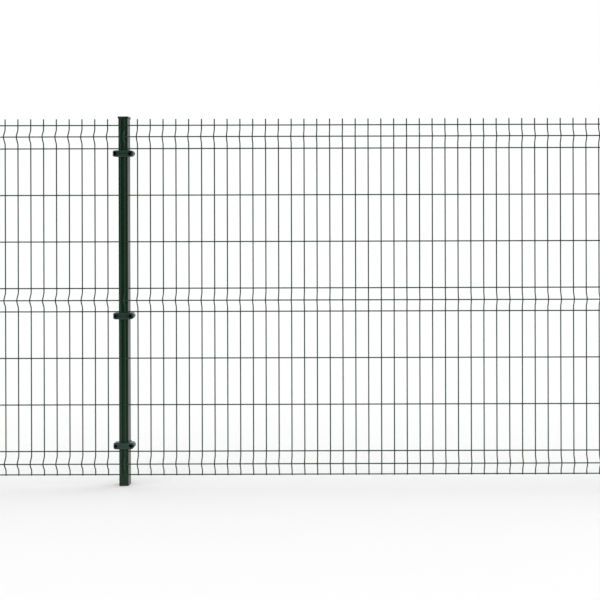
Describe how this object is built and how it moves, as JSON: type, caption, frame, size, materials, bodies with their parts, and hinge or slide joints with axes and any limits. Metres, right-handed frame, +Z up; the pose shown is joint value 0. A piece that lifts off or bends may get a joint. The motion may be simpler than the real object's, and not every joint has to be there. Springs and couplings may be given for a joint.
{
  "type": "welded mesh fence, two bays on three posts",
  "caption": "Green welded wire mesh fence in two bays, with V-shaped stiffening folds, held by bolted collars on rectangular capped posts.",
  "frame": {"origin": "on the foot of the middle post at ground level, in the middle of its front wall", "axes": "+X along the fence to the right, +Y away from the viewer through the post, +Z up"},
  "size_m": [5.078, 0.0983, 1.589],
  "materials": {
    "green_wire": "semi-gloss polyester coating over galvanized wire",
    "green_steel": "semi-gloss polyester coating over galvanized steel tube and strip",
    "green_moulding": "glossy moulded polyamide"
  },
  "bodies": {
    "root": {"left_post": "green_steel", "middle_post": "green_steel", "right_post": "green_steel", "left_post_cap": "green_moulding", "middle_post_cap": "green_moulding", "right_post_cap": "green_moulding", "left_panel_outer_half": "green_wire", "left_panel_inner_half": "green_wire", "right_panel_inner_half": "green_wire", "right_panel_outer_half": "green_wire", "left_top_collar_bar": "green_moulding", "left_middle_collar_bar": "green_moulding", "left_bottom_collar_bar": "green_moulding", "middle_top_collar_bar": "green_moulding", "middle_middle_collar_bar": "green_moulding", "middle_bottom_collar_bar": "green_moulding", "right_top_collar_bar": "green_moulding", "right_middle_collar_bar": "green_moulding", "right_bottom_collar_bar": "green_moulding", "left_top_collar_strap": "green_steel", "left_middle_collar_strap": "green_steel", "left_bottom_collar_strap": "green_steel", "middle_top_collar_strap": "green_steel", "middle_middle_collar_strap": "green_steel", "middle_bottom_collar_strap": "green_steel", "right_top_collar_strap": "green_steel", "right_middle_collar_strap": "green_steel", "right_bottom_collar_strap": "green_steel"}
  },
  "joints": []
}
